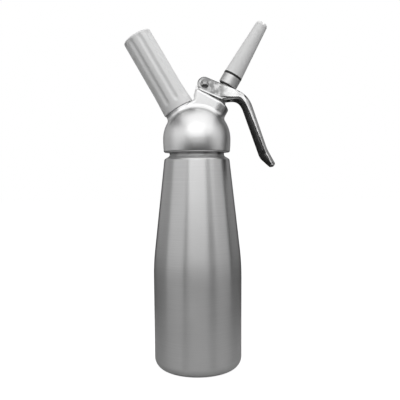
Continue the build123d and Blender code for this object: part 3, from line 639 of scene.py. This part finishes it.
def surfaced(tree, finish, pattern, colour, shade=1.0, dull=1.0):
    """A finish's colour, roughness and bumps, which follow its pattern and two masks about one."""
    shader = tree.nodes["Principled BSDF"]
    shader.inputs["Metallic"].default_value = finish.metallic
    shader.inputs["Specular IOR Level"].default_value = finish.specular
    tint = tree.nodes.new("ShaderNodeVectorMath")
    tint.operation = "SCALE"
    tint.inputs[0].default_value = colour
    link(tree, product(tree, pattern["Tone"], shade), tint.inputs["Scale"])
    link(tree, tint.outputs["Vector"], shader.inputs["Base Color"])
    link(tree, product(tree, pattern["Tone"], dull, finish.roughness), shader.inputs["Roughness"])
    if finish.bumps:
        bump = tree.nodes.new("ShaderNodeBump")
        bump.inputs["Distance"].default_value = finish.bumps
        link(tree, pattern["Height"], bump.inputs["Height"])
        link(tree, bump.outputs["Normal"], shader.inputs["Normal"])


def plain(name, groups, colour, kind=None, turn=None):
    """A finish with no shades of its own."""
    material, tree, finish, pattern = new_finish(name, groups, kind, turn)
    surfaced(tree, finish, pattern, colour)
    return material


def neck_painted_light(tree):
    """Painted highlight where the shoulder turns up into the neck, and painted shade just above, where the skirt's
    shadow falls.
    """
    height = parted(tree, coordinate(tree, "Object"))["Z"]
    bright = product(tree, ramp(tree, height, *NECK_BRIGHT_IN), ramp(tree, height, *reversed(NECK_DARK_IN)))
    dark = product(tree, ramp(tree, height, *NECK_DARK_IN), ramp(tree, height, *NECK_DARK_OUT))
    # A painted highlight low on the neck, and a painted shade where the skirt's shadow falls
    lifted = combined(tree, "MULTIPLY_ADD", bright, NECK_PAINTED_HIGHLIGHT, 1.0)
    return combined(tree, "MULTIPLY_ADD", dark, -NECK_PAINTED_SHADE, lifted)


def brushed_aluminium(groups, colour):
    """The bottle: brushed round its axis, so lights smear up and down it, with faint smudges and a painted
    highlight and shade at the neck.
    """
    material, tree, finish, brushing = new_finish("brushed_aluminium", groups)
    surfaced(tree, finish, brushing, colour, neck_painted_light(tree), placed(tree, groups, SMUDGES)["Tone"])
    shader = tree.nodes["Principled BSDF"]
    shader.inputs["Anisotropic"].default_value = BRUSH_STRETCH
    shader.inputs["Anisotropic Rotation"].default_value = BRUSH_TURN
    tangent = tree.nodes.new("ShaderNodeTangent")
    tangent.direction_type = "RADIAL"
    tangent.axis = "Z"
    link(tree, tangent.outputs["Tangent"], shader.inputs["Tangent"])
    return material


def painted_skirt_shade(tree):
    """A soft painted shade low on the dome's skirt, in the middle of its front and its back, which also stands for
    raised lettering left off.
    """
    place = parted(tree, coordinate(tree, "Object"))
    sideways = combined(tree, "ABSOLUTE", place["X"])
    return product(
        tree,
        ramp(tree, place["Z"], *SKIRT_DOWN),
        ramp(tree, sideways, *SKIRT_INWARD),
        ramp(tree, place["Z"], *SKIRT_OFF_RIM),
    )


def painted_crease_shade(tree):
    """A soft painted shade on the dome in the crease along the foot of the block that carries the valve."""
    place = coordinate(tree, "Object")
    out = tree.nodes.new("ShaderNodeVectorMath")
    out.operation = "SUBTRACT"
    out.inputs[1].default_value = DOME_CENTRE
    link(tree, place, out.inputs[0])
    from_centre = tree.nodes.new("ShaderNodeVectorMath")
    from_centre.operation = "LENGTH"
    link(tree, out.outputs["Vector"], from_centre.inputs[0])
    across = along(tree, out.outputs["Vector"], TO_CAMERA)
    below = combined(tree, "MAXIMUM", along(tree, out.outputs["Vector"], NOZZLE_AXIS.cross(TO_CAMERA)), 0.0)
    squares = combined(tree, "MULTIPLY_ADD", across, across, product(tree, below, below))
    from_arm = combined(tree, "SQRT", squares)
    return product(
        tree,
        ramp(tree, from_arm, *CREASE_IN),
        ramp(tree, from_arm, *CREASE_OUT),
        ramp(tree, along(tree, place, UP), *CREASE_UP),
        ramp(tree, from_centre.outputs["Value"], *CREASE_ON_DOME),
    )


def cast_aluminium(groups, colour):
    """The head: blasted casting with a fine grain, with painted shade low on its skirt and in the crease under the
    valve's block.
    """
    material, tree, finish, grain = new_finish("cast_aluminium", groups)
    # Painted shade low on the skirt, which also stands for the lettering left off
    skirt = combined(tree, "MULTIPLY_ADD", painted_skirt_shade(tree), -SKIRT_PAINTED_SHADE, 1.0)
    # Painted shade in the crease under the valve's block
    crease = combined(tree, "MULTIPLY_ADD", painted_crease_shade(tree), -CREASE_PAINTED_SHADE, 1.0)
    surfaced(tree, finish, grain, colour, product(tree, skirt, crease))
    return material


def inward_side(tree):
    """Where the lever faces the bottle, past its pin: the side that its finish makes darker and duller."""
    out = parted(tree, coordinate(tree, "Object"))["X"]
    facing = along(tree, coordinate(tree, "Normal"), LEVER_INWARD)
    # The dull side reaches further round the edge towards the arm's end
    reach = combined(tree, "MULTIPLY_ADD", out, INNER_REACH, facing)
    return product(tree, ramp(tree, reach, *INNER_FACING), ramp(tree, out, *INNER_PAST_PIN))


def fork_painted_reflections(tree, height):
    """How much darker the lever's fork is painted: a mottled reflection in blotches on its cheeks, and a dark
    reflection along its upper edges.
    """
    place = coordinate(tree, "Object")
    facing = parted(tree, coordinate(tree, "Normal"))
    sideways = combined(tree, "ABSOLUTE", facing["Y"])
    before_bend = ramp(tree, parted(tree, place)["X"], *FORK_BEFORE_BEND)
    pin = LEVER_PIN.dot(LEVER_UNDER)
    above_rim = ramp(tree, along(tree, place, LEVER_UNDER), *(pin + below for below in FORK_ABOVE_RIM))
    high = ramp(tree, height, *BLOTCH_HEIGHTS)
    # Painted mottled reflection on the cheeks
    blotches = combined(tree, "MULTIPLY_ADD", high, -BLOTCH_LIGHTER, BLOTCH_DARKER)
    cheeks = product(tree, ramp(tree, sideways, *CHEEK_FACING), before_bend, above_rim, blotches)
    # Painted dark reflection along the upper edges
    edges = product(
        tree,
        ramp(tree, sideways, *EDGE_FACING_IN),
        ramp(tree, sideways, *EDGE_FACING_OUT),
        ramp(tree, facing["Z"], *EDGE_FACING_UP),
        before_bend,
        EDGE_DARKER,
    )
    return combined(tree, "MAXIMUM", cheeks, edges)


def chromed_casting(groups, colour):
    """The lever: bright plating over a casting that isn't quite even, dull and dark inside the grip, with painted
    reflections on the fork.
    """
    material, tree, finish, grain = new_finish("chromed_casting", groups)
    inner = inward_side(tree)
    fork = combined(tree, "SUBTRACT", 1.0, fork_painted_reflections(tree, grain["Height"]))
    bright = product(tree, combined(tree, "MULTIPLY_ADD", inner, -INNER_DARKER, 1.0), fork)
    dull = combined(tree, "MULTIPLY_ADD", inner, INNER_DULLER, 1.0)
    surfaced(tree, finish, grain, colour, bright, dull)
    return material


class WHIPPER_OT_bottle(bpy.types.Operator):
    """Bottle with its threaded neck"""

    bl_idname = "whipper.bottle"
    bl_label = "Bottle"

    def execute(self, context):
        sizes = context.scene.whipper_bottle
        under = sizes.shoulder_height - sizes.shoulder_wall
        neck_foot = sizes.shoulder_height + sizes.shoulder_rise
        profile = [
            (0, 0, 0),
            (sizes.base_radius, 0, sizes.foot_round),
            (sizes.belly_radius, sizes.belly_height, sizes.belly_blend),
            (sizes.shoulder_radius, sizes.shoulder_height, sizes.shoulder_round),
            (sizes.neck_core, neck_foot, sizes.neck_root),
            (sizes.neck_core, sizes.neck_top, sizes.lip_round),
            (sizes.neck_bore, sizes.neck_top, sizes.lip_round),
            (sizes.neck_bore, under, sizes.lip_round),
            (sizes.shoulder_radius - sizes.wall, under, sizes.shoulder_round),
            (sizes.belly_radius - sizes.wall, sizes.belly_height, sizes.belly_blend),
            (sizes.base_radius - sizes.wall, sizes.bottom, sizes.foot_round - sizes.wall),
            (0, sizes.bottom, 0),
        ]
        shell = spun("bottle_shell", rounded(profile), BOTTLE_SEGMENTS)
        carried(shell, "bottle", "brushed_aluminium", "bottle")
        low = sizes.neck_top - sizes.thread_drop - sizes.pitch * sizes.turns
        winding = thread("neck_thread", sizes.neck_core, sizes.neck_crest, sizes.pitch, low, sizes.turns)
        carried(winding, "bottle", "brushed_aluminium")
        return {"FINISHED"}


class WHIPPER_OT_holder(bpy.types.Operator):
    """Charger holder with soft flutes"""

    bl_idname = "whipper.holder"
    bl_label = "Charger holder"

    def execute(self, context):
        sizes = context.scene.whipper_holder
        mouth = sizes.start + 2 * sizes.socket_lip
        outside = [
            (sizes.socket_radius, mouth, 0),
            (sizes.socket_radius, sizes.start, sizes.socket_lip),
            (sizes.foot_radius, sizes.start, sizes.foot_round),
            (sizes.waist_radius, sizes.waist, sizes.waist_blend),
            (sizes.end_radius, sizes.end, sizes.end_round),
            (0, sizes.end, 0),
        ]
        inside = [
            (0, sizes.pocket_end, 0),
            (sizes.pocket_radius, sizes.pocket_end, sizes.end_round),
            (sizes.pocket_radius, sizes.socket_end, 0),
            (sizes.socket_radius, sizes.socket_end, 0),
            (sizes.socket_radius, mouth, 0),
        ]
        points = divided(rounded(outside), FLUTE_STEP) + rounded(inside)
        shell = spun("holder_shell", points, FLUTE_SEGMENTS * sizes.flutes)
        self.flute(shell, sizes)
        carried(on_arm(shell, CHARGER_AXIS), "holder", "light_plastic", "charger_holder")
        return {"FINISHED"}

    def flute(self, shell, sizes):
        """Sinks the flutes into the outside, with soft edges and round lower ends."""
        pitch = 2 * math.pi / sizes.flutes
        for vertex in shell.data.vertices:
            radius = math.hypot(vertex.co.x, vertex.co.y)
            if radius < sizes.socket_radius + sizes.foot_round:
                continue
            turn = math.atan2(vertex.co.y, vertex.co.x) + math.pi / 2 - sizes.flute_turn
            across = ((turn / pitch) % 1.0 - 0.5) * pitch * radius
            below = max(sizes.flute_start - vertex.co.z, 0.0)
            away = min(math.hypot(across, below) / sizes.flute_half, 1.0)
            fade = min((sizes.end - vertex.co.z) / sizes.flute_fade, 1.0)
            sunk = radius - fade * sizes.flute_depth * (0.5 + 0.5 * math.cos(math.pi * away))
            vertex.co.x *= sunk / radius
            vertex.co.y *= sunk / radius


class WHIPPER_OT_threads(bpy.types.Operator):
    """Threads that show when the holder and the tip are unscrewed"""

    bl_idname = "whipper.threads"
    bl_label = "Arm threads"

    def execute(self, context):
        sizes = context.scene.whipper_threads
        spigot = thread(
            "spigot_thread",
            sizes.spigot_core,
            sizes.spigot_crest,
            sizes.spigot_pitch,
            sizes.spigot_low,
            sizes.spigot_turns,
        )
        carried(on_arm(spigot, CHARGER_AXIS), "head", "cast_aluminium")
        nozzle = thread(
            "adapter_thread",
            sizes.nozzle_core,
            sizes.nozzle_crest,
            sizes.nozzle_pitch,
            sizes.nozzle_low,
            sizes.nozzle_turns,
        )
        carried(on_arm(nozzle, NOZZLE_AXIS), "valve", "turned_steel")
        return {"FINISHED"}


class WHIPPER_OT_spring(bpy.types.Operator):
    """Coil spring of the valve, carried on the head"""

    bl_idname = "whipper.spring"
    bl_label = "Valve spring"

    def execute(self, context):
        sizes = context.scene.whipper_spring
        deselect()
        bpy.ops.mesh.primitive_circle_add(vertices=WIRE_SEGMENTS, radius=sizes.wire)
        coil = context.object
        coil.name = "coil_spring"
        bpy.ops.object.mode_set(mode="EDIT")
        bpy.ops.mesh.select_all(action="SELECT")
        bpy.ops.transform.rotate(value=math.pi / 2, orient_axis="X", center_override=(0, 0, 0))
        bpy.ops.transform.translate(value=(sizes.radius, 0, sizes.low))
        wound(coil, sizes.turns, sizes.high - sizes.low, COIL_SEGMENTS)
        carried(on_arm(coil, NOZZLE_AXIS), "head", "spring_steel", "valve_spring")
        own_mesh(coil)
        return {"FINISHED"}


class WHIPPER_OT_lever(bpy.types.Operator):
    """Lever with a sharper fork and bend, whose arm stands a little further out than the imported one"""

    bl_idname = "whipper.lever"
    bl_label = "Lever"

    def execute(self, context):
        sizes = context.scene.whipper_lever
        deselect()
        casting = bpy.data.objects.new("lever_casting", frame["nodes"]["lever"].data.copy())
        context.scene.collection.objects.link(casting)
        casting.select_set(True)
        context.view_layer.objects.active = casting
        bpy.ops.object.mode_set(mode="EDIT")
        closed(casting)
        facings = [vertex.normal.dot(LEVER_INWARD) for vertex in casting.data.vertices]
        for vertex, facing in zip(casting.data.vertices, facings):
            self.reshape(vertex, facing, sizes)
        bpy.ops.object.shade_smooth_by_angle(angle=SMOOTH_ANGLE)
        carried(casting, "lever", "chromed_casting", "lever")
        return {"FINISHED"}

    def reshape(self, vertex, facing, sizes):
        """Moves a point sideways to sharpen the fork and bend, outwards in the arm and up in the bend."""
        place = vertex.co.copy()
        past = eased(place.x, sizes.ease_start, sizes.ease_end)
        sharp = 0.0
        if abs(place.y) >= sizes.half_width - sizes.edge:
            depth = (place - LEVER_PIN).dot(LEVER_UNDER)
            sharp = eased(depth, sizes.under - sizes.edge, sizes.under - sizes.edge / 2) * (1.0 - past)
        if abs(place.y) > sizes.half_width - sizes.bevel and place.x > sizes.ease_start:
            whole = eased(place.x, sizes.fill_end, sizes.bevel_whole)
            sharp = max(sharp, sizes.fill * eased(facing, 0.0, LEVER_FACING) * (1.0 - whole))
        from_lift = math.hypot(
            (place.x - sizes.lift_out) / sizes.lift_reach, (place.z - sizes.lift_height) / sizes.lift_rise
        )
        vertex.co.x += sizes.ease * past
        vertex.co.y += (math.copysign(sizes.half_width, place.y) - place.y) * sharp
        vertex.co.z += sizes.lift * eased(from_lift, 1.0, 0.0)


class WHIPPER_OT_pin(bpy.types.Operator):
    """Lever pin with a domed head and the clip's groove"""

    bl_idname = "whipper.pin"
    bl_label = "Lever pin"

    def execute(self, context):
        sizes = context.scene.whipper_pin
        foot = sizes.radius - sizes.groove
        shank = [
            (0, -sizes.back, 0),
            (sizes.radius, -sizes.back, sizes.groove),
            (sizes.radius, -sizes.face - sizes.groove_width, 0),
            (foot, -sizes.face - sizes.groove_width, 0),
            (foot, -sizes.face, 0),
            (sizes.radius, -sizes.face, 0),
            (sizes.radius, sizes.face, 0),
        ]
        curve = (sizes.head_radius ** 2 + sizes.head_height ** 2) / (2 * sizes.head_height)
        centre = Vector((0, sizes.face + sizes.head_height - curve))
        sweep = math.asin(sizes.head_radius / curve)
        steps = math.ceil(sweep / ARC_STEP)
        turns = [sweep * (1 - number / steps) for number in range(steps + 1)]
        dome = [centre + curve * Vector((math.sin(turn), math.cos(turn))) for turn in turns]
        pin = spun("domed_pin", rounded(shank) + dome, ROUND_SEGMENTS)
        carried(on_arm(pin, TO_CAMERA, LEVER_PIN), "head", "chromed_casting", "lever_pin")
        return {"FINISHED"}


class WHIPPER_OT_rings(bpy.types.Operator):
    """Black rings on either side of the tip's adapter: the tip's seal, and a ring under the adapter that is
    painted shade for the gap's shadow
    """

    bl_idname = "whipper.rings"
    bl_label = "Adapter rings"

    def execute(self, context):
        sizes = context.scene.whipper_rings
        seal = self.ring("seal_ring", sizes, sizes.seal_radius, sizes.seal_low, sizes.seal_high)
        carried(seal, "tip_ring", "rubber", "tip_seal")
        # A black ring under the adapter, painted shade for the shadow in the gap between adapter and lever
        outside = sizes.shade_ring_radius
        shade_ring = self.ring("adapter_shade_ring", sizes, outside, sizes.shade_ring_low, sizes.shade_ring_high)
        carried(shade_ring, "valve", "rubber")
        return {"FINISHED"}

    def ring(self, name, sizes, radius, low, high):
        """A flat ring on the nozzle's arm."""
        middle = (low + high) / 2
        profile = [
            (sizes.bore, middle, 0),
            (sizes.bore, low, 0),
            (radius, low, sizes.edge),
            (radius, high, sizes.edge),
            (sizes.bore, high, 0),
            (sizes.bore, middle, 0),
        ]
        return on_arm(spun(name, rounded(profile), ROUND_SEGMENTS), NOZZLE_AXIS)


class WHIPPER_OT_finishes(bpy.types.Operator):
    """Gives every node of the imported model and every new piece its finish"""

    bl_idname = "whipper.finishes"
    bl_label = "Finishes"

    def execute(self, context):
        colours = context.scene.whipper_colours
        groups = {"grain": grain_group(), "rings": rings_group()}
        lean = CHARGER_AXIS.angle(UP)
        on_nozzle = (0, -lean, 0)
        on_charger = (0, lean, 0)
        made = {
            "brushed_aluminium": brushed_aluminium(groups, colours.bottle),
            "cast_aluminium": cast_aluminium(groups, colours.head),
            "chromed_casting": chromed_casting(groups, colours.lever),
            "turned_steel": plain("turned_steel", groups, colours.steel, turn=on_nozzle),
            "charger_steel": plain("charger_steel", groups, colours.steel, "turned_steel", on_charger),
            "spring_steel": plain("spring_steel", groups, colours.steel, "turned_steel", on_nozzle),
            "light_plastic": plain("light_plastic", groups, colours.plastic),
            "rubber": plain("black_rubber", groups, colours.rubber),
        }
        for part in frame["record"]["subparts"]:
            self.dress(frame["nodes"][part["node"]], made[part["material_slot"]])
        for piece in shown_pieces():
            if "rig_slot" in piece:
                self.dress(piece, made[piece["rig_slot"]])
        self.dress(bpy.data.objects["domed_pin"], plain("polished_pin", groups, colours.pin))
        return {"FINISHED"}

    def dress(self, piece, material):
        """Takes off what a piece wears and puts one finish on it."""
        piece.data.materials.clear()
        piece.data.materials.append(material)


class WHIPPER_OT_stage(bpy.types.Operator):
    """Floor, lamps, room light and camera"""

    bl_idname = "whipper.stage"
    bl_label = "Stage"

    def execute(self, context):
        sizes = context.scene.whipper_stage
        self.floor(sizes, context.scene.whipper_colours)
        self.lamps(sizes)
        self.room(context, sizes)
        self.camera(context, sizes)
        return {"FINISHED"}

    def floor(self, sizes, colours):
        """A floor whose colour darkens away from the bottle, a painted pool of light, but that the camera sees
        white, with a soft shadow.
        """
        deselect()
        bpy.ops.mesh.primitive_plane_add(size=sizes.floor_size)
        floor = bpy.context.object
        floor.name = "floor"
        material, tree = new_material("pale_floor")
        shader = tree.nodes["Principled BSDF"]
        away = tree.nodes.new("ShaderNodeVectorMath")
        away.operation = "LENGTH"
        link(tree, coordinate(tree, "Object"), away.inputs[0])
        colour = tree.nodes.new("ShaderNodeMix")
        colour.data_type = "RGBA"
        colour.inputs["A"].default_value = (*colours.floor, 1)
        colour.inputs["B"].default_value = (*colours.floor_away, 1)
        # Painted pool of light: the floor's colour darkens away from the bottle
        darkened = ramp(tree, away.outputs["Value"], sizes.floor_near, sizes.floor_far)
        link(tree, darkened, colour.inputs["Factor"])
        link(tree, colour.outputs["Result"], shader.inputs["Base Color"])
        shader.inputs["Roughness"].default_value = FLOOR_ROUGHNESS
        shader.inputs["Specular IOR Level"].default_value = FLOOR_SPECULAR
        glow = tree.nodes.new("ShaderNodeEmission")
        lifted = combined(tree, "MULTIPLY_ADD", darkened, 1.0 - sizes.floor_glow, sizes.floor_glow)
        link(tree, lifted, glow.inputs["Strength"])
        add = tree.nodes.new("ShaderNodeAddShader")
        path = tree.nodes.new("ShaderNodeLightPath")
        mix = tree.nodes.new("ShaderNodeMixShader")
        link(tree, shader.outputs["BSDF"], add.inputs[0])
        link(tree, glow.outputs["Emission"], add.inputs[1])
        link(tree, path.outputs["Is Camera Ray"], mix.inputs["Fac"])
        link(tree, shader.outputs["BSDF"], mix.inputs[1])
        link(tree, add.outputs["Shader"], mix.inputs[2])
        link(tree, mix.outputs["Shader"], tree.nodes["Material Output"].inputs["Surface"])
        floor.data.materials.append(material)
        floor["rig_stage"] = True

    def lamp(self, name, bearing, rise, distance, width, height, power, aim):
        """A soft box seen from the bottle at a bearing from the camera's side, lifted by rise."""
        angle = math.radians(bearing)
        lift = math.radians(rise)
        away = Vector((math.sin(angle) * math.cos(lift), -math.cos(angle) * math.cos(lift), math.sin(lift)))
        data = bpy.data.lights.new(name, "AREA")
        data.shape = "RECTANGLE"
        data.size = width
        data.size_y = height
        data.energy = power
        box = bpy.data.objects.new(name, data)
        bpy.context.scene.collection.objects.link(box)
        box.location = UP * aim + away * distance
        box.rotation_mode = "QUATERNION"
        box.rotation_quaternion = (-away).to_track_quat("-Z", "Y")
        return box

    def lamps(self, sizes):
        """Soft boxes all round and above, and one that lights the plastic but that no metal mirrors."""
        for name, values in LAMPS.items():
            box = self.lamp(name, *values, sizes.lamp_aim)
            box.visible_glossy = name not in UNMIRRORED

    def room(self, context, sizes):
        """Dim light all round, with plain white behind the whipper."""
        world = bpy.data.worlds.new("studio")
        context.scene.world = world
        world.use_nodes = True
        tree = world.node_tree
        back = tree.nodes["Background"]
        path = tree.nodes.new("ShaderNodeLightPath")
        strength = tree.nodes.new("ShaderNodeMapRange")
        strength.inputs["To Min"].default_value = sizes.ambient
        link(tree, path.outputs["Is Camera Ray"], strength.inputs["Value"])
        link(tree, strength.outputs["Result"], back.inputs["Strength"])
        back.inputs["Color"].default_value = (1, 1, 1, 1)
        context.scene.view_settings.view_transform = "Standard"

    def camera(self, context, sizes):
        """The camera in front of the whipper, a little above its middle."""
        data = bpy.data.cameras.new("camera")
        data.lens = sizes.lens
        data.sensor_width = sizes.film
        data.clip_start = CLIP_START
        data.clip_end = CLIP_END
        camera = bpy.data.objects.new("camera", data)
        context.scene.collection.objects.link(camera)
        level = Matrix.Rotation(math.pi / 2 - sizes.camera_dip, 4, "X")
        place = Matrix.Translation((sizes.camera_side, -sizes.camera_distance, sizes.camera_height))
        camera.matrix_world = place @ level @ Matrix.Rotation(sizes.camera_roll, 4, "Z")
        context.scene.camera = camera


class WHIPPER_PT_panel(bpy.types.Panel):
    """The whipper's pieces, finishes and stage"""

    bl_idname = "WHIPPER_PT_panel"
    bl_label = "Cream whipper"
    bl_space_type = "VIEW_3D"
    bl_region_type = "UI"
    bl_category = "Whipper"

    def draw(self, context):
        for operator in OPERATORS:
            self.layout.operator(operator.bl_idname)
        for label, kind in SIZES.items():
            column = self.layout.column()
            for name in kind.__annotations__:
                column.prop(getattr(context.scene, label), name)


SIZES = {
    "whipper_bottle": BottleSizes,
    "whipper_holder": HolderSizes,
    "whipper_threads": ThreadSizes,
    "whipper_spring": SpringSizes,
    "whipper_lever": LeverSizes,
    "whipper_pin": PinSizes,
    "whipper_rings": RingSizes,
    "whipper_colours": FinishColours,
    "whipper_stage": StageSizes,
}
OPERATORS = [
    WHIPPER_OT_bottle,
    WHIPPER_OT_holder,
    WHIPPER_OT_threads,
    WHIPPER_OT_spring,
    WHIPPER_OT_lever,
    WHIPPER_OT_pin,
    WHIPPER_OT_rings,
    WHIPPER_OT_finishes,
    WHIPPER_OT_stage,
]
CLASSES = [*SIZES.values(), *OPERATORS, WHIPPER_PT_panel]


def register():
    for item in CLASSES:
        bpy.utils.register_class(item)
    for label, kind in SIZES.items():
        setattr(bpy.types.Scene, label, bpy.props.PointerProperty(type=kind))


def unregister():
    for label in SIZES:
        delattr(bpy.types.Scene, label)
    for item in reversed(CLASSES):
        bpy.utils.unregister_class(item)


def main():
    register()
    bpy.ops.whipper.bottle()
    bpy.ops.whipper.holder()
    bpy.ops.whipper.threads()
    bpy.ops.whipper.spring()
    bpy.ops.whipper.lever()
    bpy.ops.whipper.pin()
    bpy.ops.whipper.rings()
    bpy.ops.whipper.finishes()
    bpy.ops.whipper.stage()


if __name__ == "__main__":
    main()
